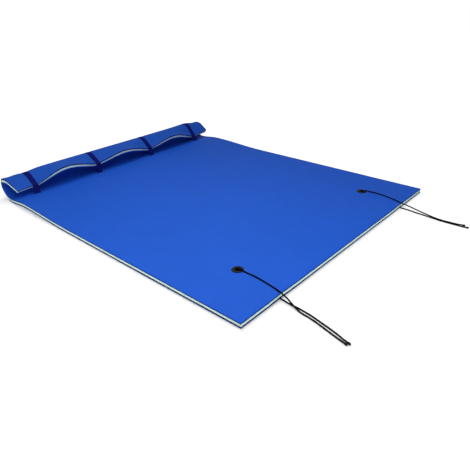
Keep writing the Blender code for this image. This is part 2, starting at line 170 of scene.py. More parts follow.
# %% [markdown]
# ## Floor, daylight and lamps
#
# The mat lies on a pale seamless floor under two soft lamps. One hangs high over its far half and is
# turned towards the near left corner, so the mat throws its shadow on the floor beside its near edges.
# The other hangs lower above that corner, where the deck is lightest. Two weak strips stand low beside
# the two near edges and lighten the cut foam. Hardly any daylight is left, which keeps the hollow under
# the flap dark. The floor is an ordinary pale matte surface, and it gets less light the farther it lies
# from that corner. Only for the camera and for reflections does it also glow, by just as much more as
# the lamps fall short, so its lit part is an even white and the mat's shadow stays.

# %% A white surface for the camera that still takes shadows
FLOOR_SIZE = 60.0
FLOOR_DROP = 0.0003
FLOOR_ALBEDO = (0.90, 0.90, 0.90, 1)
GLOW_NEAR, GLOW_FAR = 0.12, 1.0
GLOW_REACH = 4.2
LAMP_FOOT = (-1.0, -0.9, 0.0)


def seen_directly(tree):
    """1 for rays of the camera and for rays that a gloss or a clear surface sends on, else 0."""
    paths = add(tree, "LightPath").outputs
    first = maths(tree, "MAXIMUM", paths["Is Camera Ray"], paths["Is Glossy Ray"])
    return maths(tree, "MAXIMUM", first, paths["Is Transmission Ray"])


floor_paint = bpy.data.materials.new("studio_floor")
floor_paint.use_nodes = True
tree = floor_paint.node_tree
tree.nodes.clear()
matte = add(tree, "BsdfDiffuse", {"Color": FLOOR_ALBEDO})
away = add(tree, "VectorMath", {0: metres(tree), 1: LAMP_FOOT}, operation="DISTANCE").outputs["Value"]
growth = {"Value": away, "From Max": GLOW_REACH, "To Min": GLOW_NEAR, "To Max": GLOW_FAR}
grown = add(tree, "MapRange", growth, interpolation_type="SMOOTHSTEP").outputs["Result"]
glow = add(tree, "Emission", {"Strength": maths(tree, "MULTIPLY", seen_directly(tree), grown)})
both = add(tree, "AddShader", {0: matte.outputs[0], 1: glow.outputs[0]})
add(tree, "OutputMaterial", {"Surface": both.outputs[0]})
print("the floor glows", GLOW_NEAR, "under the lamps and", GLOW_FAR, "from", GLOW_REACH, "metres on")

# %% The floor itself
half = FLOOR_SIZE / 2
corners = [(x * half, y * half, -FLOOR_DROP) for x, y in ((-1, -1), (1, -1), (1, 1), (-1, 1))]
floor_mesh = bpy.data.meshes.new("studio_floor")
floor_mesh.from_pydata(corners, [], [(0, 1, 2, 3)])
floor_mesh.materials.append(floor_paint)
floor = placed("studio_floor", floor_mesh)

# %% The sky and the lamps
SKY_STRENGTH = 0.02
WHITE = (1, 1, 1, 1)
# Each lamp's place, the point it is aimed at, its two sides and its power in watts
LAMPS = {
    "high_softbox": ((0.4, 0.6, 3.0), (-2.0, -1.6, 0.0), (2.0, 2.0), 52.0),
    "near_left_softbox": ((-1.15, -1.1, 2.2), (-1.15, -1.1, 0.0), (1.8, 1.8), 37.0),
    "left_strip": ((-2.6, 0.4, 0.45), (-0.9, -0.3, 0.0), (2.0, 0.5), 12.0),
    "front_strip": ((0.0, -2.7, 0.55), (0.0, -1.1, 0.0), (2.0, 0.5), 11.0),
}

sky = bpy.data.worlds.new("studio_sky")
sky.use_nodes = True
bpy.context.scene.world = sky
tree = sky.node_tree
tree.nodes.clear()
dim, white = [
    add(tree, "Background", {"Color": WHITE, "Strength": strength}).outputs[0]
    for strength in (SKY_STRENGTH, 1.0)
]
choice = add(tree, "MixShader", {"Fac": seen_directly(tree), 1: dim, 2: white})
add(tree, "OutputWorld", {"Surface": choice.outputs[0]})

for name, (place, target, size, power) in LAMPS.items():
    lamp_data = bpy.data.lights.new(name, "AREA")
    lamp_data.shape = "RECTANGLE"
    lamp_data.size, lamp_data.size_y = size
    lamp_data.energy = power
    lamp = placed(name, lamp_data)
    aim = (Vector(target) - Vector(place)).to_track_quat("-Z", "Y")
    lamp.matrix_world = Matrix.Translation(place) @ aim.to_matrix().to_4x4()
    print(name, "of", size, "metres and", power, "W")

bpy.context.scene.view_settings.view_transform = "Standard"

# %% [markdown]
# ## Sizes and routes
#
# The sizes and the routes of the cords are the ones of the CAD model, since this lesson reads no file
# of its own. A cord's route is a short list of places that it passes, read off the photograph, with
# its height over the floor at each.

# %% Sizes that the cords and the sheet share
SKIN_GAP = 0.0003
SHEET = 0.030
MAT_WIDTH = 1.83
HALF_WIDTH = MAT_WIDTH / 2
OVERALL_LENGTH = 2.18429
NEAR_EDGE = -OVERALL_LENGTH / 2
FLANGE_HEIGHT = 0.004
CORD_DIAMETER = 0.0076
CORD_RADIUS = CORD_DIAMETER / 2
ON_FLOOR = CORD_RADIUS + SKIN_GAP
ON_MAT = SHEET + CORD_RADIUS + SKIN_GAP
ON_FLANGE = SHEET + FLANGE_HEIGHT + 2 * SKIN_GAP + CORD_RADIUS
CAP_DIAMETER = 0.0108
CAP_LEVEL = CAP_DIAMETER / 2 + SKIN_GAP
LEFT_GROMMET_INSET = 0.303
RIGHT_GROMMET_INSET = 0.281
GROMMET_SETBACK = 0.284
GROMMETS = {
    "left": Vector((LEFT_GROMMET_INSET - HALF_WIDTH, GROMMET_SETBACK + NEAR_EDGE, 0)),
    "right": Vector((HALF_WIDTH - RIGHT_GROMMET_INSET, GROMMET_SETBACK + NEAR_EDGE, 0)),
}

print("the mat is", MAT_WIDTH, "by", OVERALL_LENGTH, "metres as it lies, and", SHEET, "thick")

# %% The cords' routes
# Each strand's route past its grommet, as X and Y from the grommet's middle and a height
ROUTES = {
    "left_upper": [
        (0.003, -0.027, ON_FLANGE), (0.003, -0.048, ON_MAT), (0.001, -0.119, ON_MAT),
        (-0.008, -0.181, ON_MAT), (-0.019, -0.242, ON_MAT), (-0.030, -0.286, ON_MAT),
        (-0.034, -0.322, 0.0251), (-0.042, -0.357, 0.0146), (-0.050, -0.388, 0.0074),
        (-0.058, -0.419, ON_FLOOR), (-0.064, -0.469, ON_FLOOR), (-0.075, -0.521, ON_FLOOR),
        (-0.088, -0.573, ON_FLOOR), (-0.100, -0.621, ON_FLOOR), (-0.110, -0.662, CAP_LEVEL),
    ],
    "left_lower": [
        (-0.009, -0.085, ON_FLOOR), (-0.030, -0.288, ON_FLOOR), (-0.035, -0.325, ON_FLOOR),
        (-0.037, -0.357, ON_FLOOR), (-0.038, -0.390, ON_FLOOR), (-0.045, -0.456, ON_FLOOR),
        (-0.056, -0.509, ON_FLOOR), (-0.067, -0.559, ON_FLOOR), (-0.080, -0.610, ON_FLOOR),
        (-0.090, -0.641, ON_FLOOR), (-0.099, -0.671, CAP_LEVEL),
    ],
    "right_upper": [
        (0.013, -0.026, ON_FLANGE), (0.022, -0.046, ON_MAT), (0.025, -0.080, ON_MAT),
        (0.022, -0.115, ON_MAT), (0.012, -0.174, ON_MAT), (-0.009, -0.241, ON_MAT),
        (-0.026, -0.284, ON_MAT), (-0.033, -0.346, 0.0276), (-0.037, -0.405, 0.0191),
        (-0.040, -0.464, 0.0111), (-0.041, -0.506, 0.0061), (-0.043, -0.546, ON_FLOOR),
        (-0.042, -0.593, ON_FLOOR), (-0.038, -0.637, ON_FLOOR), (-0.036, -0.668, CAP_LEVEL),
    ],
    "right_lower": [
        (-0.008, -0.085, ON_FLOOR), (-0.027, -0.286, ON_FLOOR), (-0.031, -0.341, ON_FLOOR),
        (-0.039, -0.397, ON_FLOOR), (-0.043, -0.450, ON_FLOOR), (-0.050, -0.498, ON_FLOOR),
        (-0.056, -0.551, ON_FLOOR), (-0.056, -0.598, ON_FLOOR), (-0.055, -0.644, ON_FLOOR),
        (-0.054, -0.670, ON_FLOOR), (-0.053, -0.693, CAP_LEVEL),
    ],
}

for strand, route in ROUTES.items():
    print(strand, "passes", len(route), "places after its grommet")

# %% [markdown]
# ## Tools for lines and meshes
#
# Every free form below is made with a few small tools: evenly spread values, a smooth curve through
# chosen points, and a skin over rings of points. Modelling by hand could give the same shapes, but
# plain lists of numbers can be checked, and the same list gives the same mesh each time.

# %% Lines: evenly spread values, smooth curves, even steps
CURVE_STEPS = 24


def spread(start, end, cells):
    """Evenly spaced values from start to end, both included."""
    return [start + (end - start) * step / cells for step in range(cells + 1)]


def smooth_through(points):
    """A Catmull-Rom curve through the points, as closely spaced places along it."""
    padded = [2 * points[0] - points[1]] + points + [2 * points[-1] - points[-2]]
    fine = []
    for p0, p1, p2, p3 in zip(padded, padded[1:], padded[2:], padded[3:]):
        for t in spread(0, 1, CURVE_STEPS)[:-1]:
            fine.append(0.5 * (
                2 * p1 + (p2 - p0) * t + (2 * p0 - 5 * p1 + 4 * p2 - p3) * t**2
                + (3 * p1 - p0 - 3 * p2 + p3) * t**3
            ))
    return fine + [points[-1]]


def line_length(points):
    """Length of a line of points."""
    return sum((b - a).length for a, b in zip(points, points[1:]))


def spaced(fine, spacing):
    """Points of a fine line, an even step apart."""
    length = line_length(fine)
    steps = max(2, round(length / spacing))
    picked, walked, wanted = [fine[0]], 0.0, 1
    for a, b in zip(fine, fine[1:]):
        gap = (b - a).length
        while wanted < steps and walked + gap >= length * wanted / steps:
            picked.append(a.lerp(b, (length * wanted / steps - walked) / gap))
            wanted += 1
        walked += gap
    return picked + [fine[-1]]


print("a quarter turn in three steps:", [round(turn, 3) for turn in spread(0, math.pi / 2, 3)])

# %% Meshes from plain lists
def new_mesh(name, points, faces, finishes, uvs=None, face_finish=None):
    """A smooth-shaded object from points and faces, with one map corner for each face corner."""
    mesh = bpy.data.meshes.new(name)
    mesh.from_pydata([tuple(p) for p in points], [], faces)
    for made in finishes:
        mesh.materials.append(made)
    if uvs is not None:
        layer = mesh.uv_layers.new(name="UVMap")
        layer.data.foreach_set("uv", np.array(uvs, float).ravel())
    if face_finish is not None:
        mesh.polygons.foreach_set("material_index", face_finish)
    mesh.shade_smooth()
    return placed(name, mesh)


def from_bmesh(name, bm):
    """An object from a mesh that was put together step by step."""
    mesh = bpy.data.meshes.new(name)
    bm.to_mesh(mesh)
    bm.free()
    return placed(name, mesh)


def skin_over(rings, levels, marks):
    """Faces and map of a skin over rings of points. levels run along the rings, marks round each ring."""
    sides = len(marks) - 1
    faces, uvs = [], []
    for ring, (low, high) in enumerate(zip(levels, levels[1:])):
        here, there = ring * sides, (ring + 1) % rings * sides
        for k, (left, right) in enumerate(zip(marks, marks[1:])):
            after = (k + 1) % sides
            faces.append((here + k, here + after, there + after, there + k))
            uvs += [(left, low), (right, low), (right, high), (left, high)]
    return faces, uvs


def end_faces(rings, sides):
    """The two flat faces that close the first and the last ring."""
    last = (rings - 1) * sides
    return [tuple(reversed(range(sides))), tuple(last + k for k in range(sides))]


# %% A tube along a line
def tube(name, line, radius, sides, made):
    """A closed tube along a line. Its map runs once round the tube, and along it in metres."""
    along = [(b - a).normalized() for a, b in zip(line, line[1:])]
    headings = [along[0]] + [(a + b).normalized() for a, b in zip(along, along[1:])] + [along[-1]]
    walked = [0.0]
    for a, b in zip(line, line[1:]):
        walked.append(walked[-1] + (b - a).length)
    side, last = headings[0].orthogonal().normalized(), headings[0]
    points = []
    for p, heading in zip(line, headings):
        side = last.rotation_difference(heading) @ side
        side = (side - heading * side.dot(heading)).normalized()
        other = heading.cross(side)
        last = heading
        for turn in spread(0, math.tau, sides)[:-1]:
            points.append(p + (side * math.cos(turn) + other * math.sin(turn)) * radius)
    faces, uvs = skin_over(len(line), walked, spread(0, 1, sides))
    faces += end_faces(len(line), sides)
    uvs += [(k / sides, level) for level in (walked[0], walked[-1]) for k in range(sides)]
    return new_mesh(name, points, faces, [made], uvs)


# %% [markdown]
# ## The foam sheet
#
# The sheet is one long strip, and every point of it has an address: how far across, how far along,
# and how high above the underside. A single rule turns an address into a place, so the three bonded
# layers stay parallel round every bend. A lattice or a cloth simulation could bend the sheet too, but
# then the straps and slits would have to find it afterwards; here they use the same rule. It is the
# CAD model's, walked in finer steps.

# %% Sizes of the sheet and its stretches
DECK_LENGTH = 2.065
BOTTOM_LAYER = 0.010
CORE_LAYER = 0.012
TOE_RADIUS = 0.105
TOE_TURN = math.radians(72)
CROWN_RADIUS = 0.0435
FLAP_LENGTH = 0.130
FLAP_BEND_SHARE = 0.4
FLAP_DROOP = math.radians(35)
DROOP_SHARES = (1.18, 1.00, 0.74, 1.00, 1.31, 1.00)
BAY_LIFT_SHARES = (0.0, 1.04, 0.77, 0.76, 0.0)
BAY_FULLNESS = 1.15
DRAW_IN_SHARES = (0.28, 0.06)
SWELL_RISE = 0.0175
SWELL_RUN = 0.52
SWELL_FALL = 0.19
STRAP_WIDTH = 0.038
STRAP_THICKNESS = 0.002
STRAP_INSET = 0.1605
STRAP_COUNT = 4
SLIT_PLAY = 0.001
SLIT_LEAD = 0.0137
TOE_LIFT = STRAP_THICKNESS + 2 * SKIN_GAP
STRAP_ROOM = SKIN_GAP + STRAP_THICKNESS / 2
SLIT_HALF = STRAP_WIDTH / 2 + SLIT_PLAY
OUTERMOST_STRAP = HALF_WIDTH - STRAP_INSET
STRAP_PLACES = spread(-OUTERMOST_STRAP, OUTERMOST_STRAP, STRAP_COUNT - 1)
print("straps at", [round(x, 4) for x in STRAP_PLACES])

# %% The sheet's middle line, as in the CAD model
def polar(length, angle):
    """A step of this length along a heading in the plane of Y and Z."""
    return Vector((length * math.cos(angle), length * math.sin(angle)))


def swell(y):
    """Height of the underside above the floor along the deck, and its slope there."""
    peak = DECK_LENGTH - SWELL_FALL
    if y < peak:
        low, rise, run = 0.0, SWELL_RISE, SWELL_RUN
        share = 1 + (y - peak) / SWELL_RUN
    else:
        low, rise, run = TOE_LIFT, SWELL_RISE - TOE_LIFT, -SWELL_FALL
        share = (DECK_LENGTH - y) / SWELL_FALL
    share = max(0.0, share)
    height = low + rise * (1 - math.cos(math.pi * share)) / 2
    slope = rise * math.pi * math.sin(math.pi * share) / 2 / run
    return height, slope


def middle(stretch, place, droop):
    """Point and heading of the sheet's middle line. place is a Y on the deck, else a share of the stretch."""
    if stretch == "deck":
        height, slope = swell(place)
        return Vector((place, SHEET / 2 + height)), math.atan(slope)
    toe_centre = Vector((DECK_LENGTH, SHEET / 2 + TOE_LIFT + TOE_RADIUS))
    if stretch == "toe":
        turn = TOE_TURN * place
        return toe_centre + polar(TOE_RADIUS, turn - math.pi / 2), turn
    crown_centre = toe_centre + polar(TOE_RADIUS - CROWN_RADIUS, TOE_TURN - math.pi / 2)
    if stretch == "crown":
        turn = TOE_TURN + (math.pi - TOE_TURN) * place
        return crown_centre + polar(CROWN_RADIUS, turn - math.pi / 2), turn
    # The flap bends down over its first share, then runs straight to its free edge
    bent = min(place, FLAP_BEND_SHARE)
    half_turn = droop * bent / FLAP_BEND_SHARE / 2
    chord = FLAP_LENGTH * bent
    if abs(half_turn) > math.ulp(1):
        chord *= math.sin(half_turn) / half_turn
    heading = math.pi + 2 * half_turn
    bend_end = crown_centre + Vector((0, CROWN_RADIUS)) + polar(chord, math.pi + half_turn)
    return bend_end + polar(FLAP_LENGTH * (place - bent), heading), heading


def section(stretch, place, droop, height):
    """Point of the section at this height above the sheet's underside, measured square to the sheet."""
    centre, heading = middle(stretch, place, droop)
    return centre + polar(height - SHEET / 2, heading + math.pi / 2)


free_edge = section("flap", 1, FLAP_DROOP, 0)
print("the flap's free edge is", round(free_edge.y, 4), "metres above the floor at a strap")


# %% The flap between its straps
def droop_at(held):
    """The flap's whole bend at an end or a strap, counted from the left end."""
    return FLAP_DROOP * DROOP_SHARES[held]


def droop_in(bay):
    """The flap's whole bend at a column: it goes from strap to strap, less in the middle of a bay."""
    number, share = bay
    level = droop_at(number) * (1 - share) + droop_at(number + 1) * share
    lift = max(0.0, math.sin(math.pi * share)) ** BAY_FULLNESS
    return level * (1 - BAY_LIFT_SHARES[number] * lift)


def drawn_in(x, stretch, place):
    """X of a point: the free corners of the flap draw in towards the outermost straps."""
    if stretch != "flap":
        return x
    for side, strap, share in zip((-1, 1), (STRAP_PLACES[0], STRAP_PLACES[-1]), DRAW_IN_SHARES):
        beyond = (x - strap) * side - SLIT_HALF
        if beyond > 0:
            return x - side * FLAP_LENGTH * share * place * beyond / (STRAP_INSET - SLIT_HALF)
    return x


# %% [markdown]
# ### What soft foam does beyond the stiff solid
#
# Foam gives way under a tight strap. Between two straps the roll is a little fuller, and at its free
# ends it sags, by the heights read off the photograph in CROWN_RISES. Bent foam is also squeezed on its
# inner side, so there it spreads out past the two ends of the roll. These are only millimetres, and
# adding them to the rule keeps all three layers and the straps together.

# %% Dents, fullness and flared ends of the roll
STRAP_PRESS = 0.0022
PRESS_WIDTH = 0.022
PRESS_START_SHARE = 0.5
FLAP_PRESS_SHARE = 0.6
CROWN_RISES = [
    (-0.915, -0.0018), (-0.870, -0.0044), (-0.820, -0.0020), (-0.755, -0.0034), (-0.700, 0.0006),
    (-0.640, 0.0056), (-0.500, 0.0066), (-0.250, 0.0062), (0.000, 0.0054), (0.250, 0.0052),
    (0.500, 0.0054), (0.660, 0.0072), (0.750, 0.0098), (0.800, 0.0048), (0.850, -0.0040), (0.915, -0.0066),
]
END_FLARE = 0.006
FLARE_WIDTH = 0.070
FLARE_START_SHARE = 0.15
FLARE_GROWTH_SHARE = 0.35
FLARE_FADE_SHARE = 0.25


def smooth_step(share):
    """0 below 0, 1 above 1, with a soft start and a soft end between."""
    share = min(1.0, max(0.0, share))
    return share * share * (3 - 2 * share)


def along_roll(stretch, toe, flap):
    """0 on the deck, 1 on the crown, and the two given shares on the toe and the flap."""
    return {"deck": 0.0, "toe": toe, "crown": 1.0, "flap": flap}[stretch]


def strap_press(x, stretch, place):
    """How deep the outer face gives way here under the nearest strap."""
    off = min(abs(x - strap) for strap in STRAP_PLACES) - STRAP_WIDTH / 2
    across = 1 - smooth_step(off / PRESS_WIDTH)
    toe = smooth_step((place - PRESS_START_SHARE) / (1 - PRESS_START_SHARE))
    return STRAP_PRESS * across * along_roll(stretch, toe, 1 + FLAP_PRESS_SHARE * smooth_step(place))


crown_line = smooth_through([Vector(pair) for pair in CROWN_RISES])
crown_xs, crown_ups = [p.x for p in crown_line], [p.y for p in crown_line]
print("the crown stands", round(min(crown_ups), 4), "to", round(max(crown_ups), 4), "metres above the solid's")


def fullness(x, stretch, place):
    """How far the roll stands above the solid one: straps dent it, and its free ends sag."""
    step = smooth_step(place)
    return float(np.interp(x, crown_xs, crown_ups)) * along_roll(stretch, step, 1 - step)


def end_flare(x, stretch, place, height):
    """How far bent foam spreads out past the roll's end, most at its inner side."""
    toe = smooth_step((place - FLARE_START_SHARE) / FLARE_GROWTH_SHARE)
    bent = along_roll(stretch, toe, 1 - smooth_step(place / FLARE_FADE_SHARE))
    near_end = math.exp(-((HALF_WIDTH - abs(x)) / FLARE_WIDTH) ** 2)
    return math.copysign(END_FLARE, x) * bent * near_end * (2 * height / SHEET - 1)


# %% A deck that isn't quite flat
CORD_LIFT = 0.0032
CORD_LIFT_WIDTH = 0.055
CORD_LIFT_START = 0.035
DECK_WAVE = 0.0007
WAVE_NUMBERS = ((2.1, 1.3, 0.6), (1.2, -2.6, 1.1))
CLAMP_RADIUS = 0.034
CLAMP_FADE = 0.08
RISE_FADE_START = 1.2
RISE_FADE_RUN = 0.5


def channel_run(side):
    """The straight run of a lower strand, from its grommet's middle to just past the near edge."""
    return Vector((*ROUTES[f"{side}_lower"][1][:2], 0))


def channel_offset(side, y):
    """X of the strand that runs under the mat, at a Y of the part between its grommet and the edge."""
    centre, run = GROMMETS[side], channel_run(side)
    share = (y - centre.y) / run.y
    return centre.x + run.x * share


def cord_lift(x, y):
    """How far the sheet rises over the strands under it, growing from each grommet to the near edge."""
    lift = 0.0
    for side, centre in GROMMETS.items():
        start = centre.y - CORD_LIFT_START
        along = smooth_step((start - y) / (start - NEAR_EDGE))
        off = (x - channel_offset(side, max(NEAR_EDGE, min(centre.y, y)))) / CORD_LIFT_WIDTH
        lift += CORD_LIFT * along * math.exp(-off * off)
    return lift


def deck_wave(x, y):
    """A slow, shallow wave that a sheet fresh from its roll keeps, but not where a grommet clamps it."""
    first, second = (math.sin(across * x + along * y + shift) for across, along, shift in WAVE_NUMBERS)
    clamp = min(math.hypot(x - centre.x, y - centre.y) for centre in GROMMETS.values())
    return DECK_WAVE * (1 + first * second) / 2 * smooth_step((clamp - CLAMP_RADIUS) / CLAMP_FADE)


def deck_rise(x, y):
    """How far the deck's skin stands above the solid one at a place of the part."""
    return cord_lift(x, y) + deck_wave(x, y)


print("the near edge rises", round(max(deck_rise(x, NEAR_EDGE) for x in crown_xs), 4), "metres at most")


# %% The whole rule
def sheet_point(x, bay, stretch, place, height):
    """The rule: an address on the sheet becomes a place on the part."""
    droop = droop_in(bay)
    # Foam gives way most at its outer face and not at all at the far one
    pressed = height + strap_press(x, stretch, place) * (1 - height / SHEET)
    point = section(stretch, place, droop, pressed)
    y = point.x + NEAR_EDGE
    z = point.y + fullness(x, stretch, place)
    if stretch == "deck":
        z += deck_rise(x, y) * (1 - smooth_step((place - RISE_FADE_START) / RISE_FADE_RUN))
    return Vector((drawn_in(x, stretch, place) + end_flare(x, stretch, place, height), y, z))


# %% [markdown]
# ### Three layers from one grid
#
# The rule is asked at the crossings of a grid. Its rows stand closer where the sheet bends, and its
# columns crowd towards the straps and the ends, where the foam gives way. Four small cells are left
# open as the slits for the straps. Each layer is the grid at two heights, closed all round; a solid
# with modifiers would be shorter, but its faces wouldn't follow the bends.

# %% Rows and columns of the fine grid
SLIT_PLACE = section("flap", 1, FLAP_DROOP, 0).x - SLIT_LEAD
SLIT_ROWS = (SLIT_PLACE - STRAP_THICKNESS / 2 - SLIT_PLAY, SLIT_PLACE + STRAP_THICKNESS / 2 + SLIT_PLAY)
SLIT_MARGINS = (0.02, 0.008)
CORD_STRIP_END, SWELL_START = 0.3, 1.3
CORD_STRIP_CELLS, FLAT_CELLS, SWELL_CELLS, FALL_CELLS = 14, 26, 22, 9
BEND_CELLS = {"toe": 20, "crown": 20, "flap": 20}
BAY_CELLS = 26
OVERHANG_CELLS = 10
CROWDING_SHARE = 0.6

slit_start, slit_end = SLIT_ROWS
outer_margin, inner_margin = SLIT_MARGINS
deck_places = (
    spread(0, CORD_STRIP_END, CORD_STRIP_CELLS)
    + spread(CORD_STRIP_END, SWELL_START, FLAT_CELLS)[1:]
    + spread(SWELL_START, slit_start - outer_margin, SWELL_CELLS)[1:]
    + [slit_start - inner_margin, slit_start, slit_end, slit_end + inner_margin]
    + spread(slit_end + outer_margin, DECK_LENGTH, FALL_CELLS)
)
ROWS = [("deck", place) for place in deck_places]
for stretch, cells in BEND_CELLS.items():
    ROWS += [(stretch, place) for place in spread(0, 1, cells)[1:]]

edges = [-HALF_WIDTH]
for strap in STRAP_PLACES:
    edges += [strap - SLIT_HALF, strap + SLIT_HALF]
edges.append(HALF_WIDTH)
COLUMNS = []
for bay in range(STRAP_COUNT + 1):
    left, right = edges[2 * bay], edges[2 * bay + 1]
    for even in spread(0, 1, OVERHANG_CELLS if bay in (0, STRAP_COUNT) else BAY_CELLS):
        share = (1 - math.cos(math.pi * even)) / 2 * CROWDING_SHARE + even * (1 - CROWDING_SHARE)
        COLUMNS.append((left + (right - left) * share, (bay, share)))


def in_slit(column):
    """True where the cell that starts at this column lies in a strap's slit."""
    cell_middle = (COLUMNS[column][0] + COLUMNS[column + 1][0]) / 2
    return any(abs(cell_middle - strap) < SLIT_HALF for strap in STRAP_PLACES)


SLIT_ROW = ROWS.index(("deck", slit_start))
SLIT_COLUMNS = [column for column in range(len(COLUMNS) - 1) if in_slit(column)]
print(len(ROWS), "rows and", len(COLUMNS), "columns; slits in columns", SLIT_COLUMNS)


# %% A layer as a closed shell
def is_foam(row, column):
    """True for a cell of the grid that foam fills, false outside the sheet and in a slit."""
    inside = 0 <= row < len(ROWS) - 1 and 0 <= column < len(COLUMNS) - 1
    return inside and not (row == SLIT_ROW and column in SLIT_COLUMNS)


def foam_shell(name, low, high, finishes):
    """One layer of the sheet between two heights. Its skins take finish 0 and its cut edges finish 1."""
    points = [
        sheet_point(x, bay, stretch, place, height)
        for height in (low, high) for stretch, place in ROWS for x, bay in COLUMNS
    ]
    wide, skin = len(COLUMNS), len(ROWS) * len(COLUMNS)
    faces, which = [], []
    for row in range(len(ROWS) - 1):
        for column in range(wide - 1):
            if not is_foam(row, column):
                continue
            corners = [(row, column), (row, column + 1), (row + 1, column + 1), (row + 1, column)]
            lower = [i * wide + j for i, j in corners]
            upper = [skin + k for k in lower]
            faces += [tuple(upper), tuple(reversed(lower))]
            which += [0, 0]
            beyond = ((row - 1, column), (row, column + 1), (row + 1, column), (row, column - 1))
            for side, neighbour in enumerate(beyond):
                if not is_foam(*neighbour):
                    after = (side + 1) % 4
                    faces.append((lower[side], lower[after], upper[after], upper[side]))
                    which.append(1)
    return new_mesh(name, points, faces, finishes, face_finish=which)


def applied(piece):
    """Turns a piece's modifiers into its mesh."""
    shown = piece.evaluated_get(bpy.context.evaluated_depsgraph_get())
    mesh = bpy.data.meshes.new_from_object(shown)
    piece.modifiers.clear()
    old, piece.data = piece.data, mesh
    bpy.data.meshes.remove(old)
    mesh.name = piece.name
    return piece


# %% [markdown]
# ### Foam finishes
#
# The skins of such a mat are pressed with a very fine pebble that takes the shine off them, and the
# dye is never quite even. The cut edges show the foam's own closed cells, sliced open as tiny pits.
# Both are noise in metres at the object's own coordinates, so they keep their scale everywhere.

# %% Blue skin with a fine pebble
SKIN_ROUGHNESS = 0.60
ROUGHNESS_PLAY = 0.05
PEBBLE_DEPTH = 0.00022


def foam_skin(name, low, high):
    """Skin pressed with a pebble, its dye uneven between two blues."""
    made, tree, shader = finish(name, high, SKIN_ROUGHNESS, Specular_IOR_Level=0.06)
    where = metres(tree)
    cloud = noise(tree, where, scale=2.3, detail=4.0, roughness=0.6)
    patch = noise(tree, where, scale=16.0, detail=3.0)
    grain = noise(tree, where, scale=260.0, detail=2.0)
    mixed = maths(tree, "MULTIPLY", maths(tree, "ADD", maths(tree, "ADD", cloud, patch), grain), 1 / 3)
    # The mean of three noises keeps near its middle, so it is stretched before it picks a blue
    coloured(tree, shader, ranged(tree, mixed, -0.6, 1.6), low, high)
    pebbles = {"Vector": where, "Scale": 420.0, "Smoothness": 0.6}
    pebble = add(tree, "TexVoronoi", pebbles, feature="SMOOTH_F1").outputs["Distance"]
    height = maths(tree, "ADD", pebble, maths(tree, "MULTIPLY", grain, 0.5))
    raised(tree, shader, height, PEBBLE_DEPTH, strength=0.8)
    roughened(tree, shader, cloud, SKIN_ROUGHNESS - ROUGHNESS_PLAY, SKIN_ROUGHNESS + ROUGHNESS_PLAY)
    return made


# %% The cut face of foam
CUT_ROUGHNESS = 0.85
CELL_DEPTH = 0.0005


def foam_cut(name, low, high):
    """A knife's cut through foam, its cells open as tiny pits."""
    made, tree, shader = finish(name, high, CUT_ROUGHNESS, Specular_IOR_Level=0.04)
    where = metres(tree)
    cells = add(tree, "TexVoronoi", {"Vector": where, "Scale": 900.0}).outputs["Distance"]
    streak = noise(tree, where, scale=45.0, detail=5.0)
    tone = maths(tree, "ADD", maths(tree, "MULTIPLY", cells, 0.5), maths(tree, "MULTIPLY", streak, 0.6))
    coloured(tree, shader, tone, low, high)
    raised(tree, shader, maths(tree, "MINIMUM", cells, 0.6), CELL_DEPTH, strength=0.9)
    return made


# %% The mat's own foam finishes
top_skin = foam_skin("deck_foam_skin", (0.012, 0.094, 0.56), (0.018, 0.114, 0.67))
top_cut = foam_cut("deck_foam_cut", (0.003, 0.050, 0.34), (0.005, 0.072, 0.46))
under_skin = foam_skin("underside_foam_skin", (0.012, 0.084, 0.47), (0.017, 0.102, 0.56))
# The underside's cut faces are a far darker navy than its skins: partly the cut foam's own colour, partly
# painted shade for the low edge beside the floor.
under_cut_painted_shade = foam_cut("underside_foam_cut_painted_shade", (0.003, 0.022, 0.150), (0.006, 0.036, 0.230))
core_cut = foam_cut("pale_core_cut", (0.72, 0.97, 0.72), (0.86, 1.0, 0.86))
print("finishes:", *(made.name for made in (top_skin, top_cut, under_skin, under_cut_painted_shade, core_cut)))

# %% [markdown]
# ### Holes, channels and soft edges
#
# The shells get the grommets' holes and, from below, the channel in which each lower strand runs out
# to the edge. Boolean cuts make them exactly where the CAD model has them. A small bevel then rounds
# every cut edge, as a knife leaves it, and draws the fine lines between the bonded layers.

# %% Cutters
GROMMET_BORE = 0.031
GROMMET_WALL = 0.002
GROMMET_FLANGE = 0.062
HOLE_SIDES = 96
CUTTER_DEPTH = 4 * SHEET
CHANNEL_RUN_OUT = 0.013
CHANNEL_PLAY = 0.0008
ARCH_STEPS = 16


def round_cutter(centre, radius):
    """An upright cylinder through the whole sheet."""
    bm = bmesh.new()
    bmesh.ops.create_cone(
        bm, cap_ends=True, segments=HOLE_SIDES, radius1=radius, radius2=radius,
        depth=CUTTER_DEPTH, matrix=Matrix.Translation(centre),
    )
    return from_bmesh("cutter", bm)


def channel_cutter(side):
    """The strand's own round, from the washer's pocket out past the edge, open to the floor."""
    start, run = GROMMETS[side], channel_run(side)
    run += run.normalized() * CHANNEL_RUN_OUT
    across = Vector((run.y, -run.x, 0)).normalized()
    half = CORD_RADIUS + CHANNEL_PLAY
    outline = [(-half, -SHEET), (half, -SHEET)]
    for turn in spread(0, math.pi, ARCH_STEPS):
        outline.append((half * math.cos(turn), ON_FLOOR + half * math.sin(turn)))
    near = [start + across * out + Vector((0, 0, up)) for out, up in outline]
    count = len(near)
    faces = [tuple(range(count)), tuple(reversed(range(count, 2 * count)))]
    faces += [(k, k + count, (k + 1) % count + count, (k + 1) % count) for k in range(count)]
    return new_mesh("cutter", near + [p + run for p in near], faces, [])


def cut_out(layer, cutters):
    """Takes the cutters' shapes out of a layer, and then the cutters out of the scene."""
    for cutter in cutters:
        cut = layer.modifiers.new("cut", "BOOLEAN")
        cut.operation = "DIFFERENCE"
        cut.solver = "EXACT"
        cut.object = cutter
    applied(layer)
    for cutter in cutters:
        bpy.data.objects.remove(cutter, do_unlink=True)


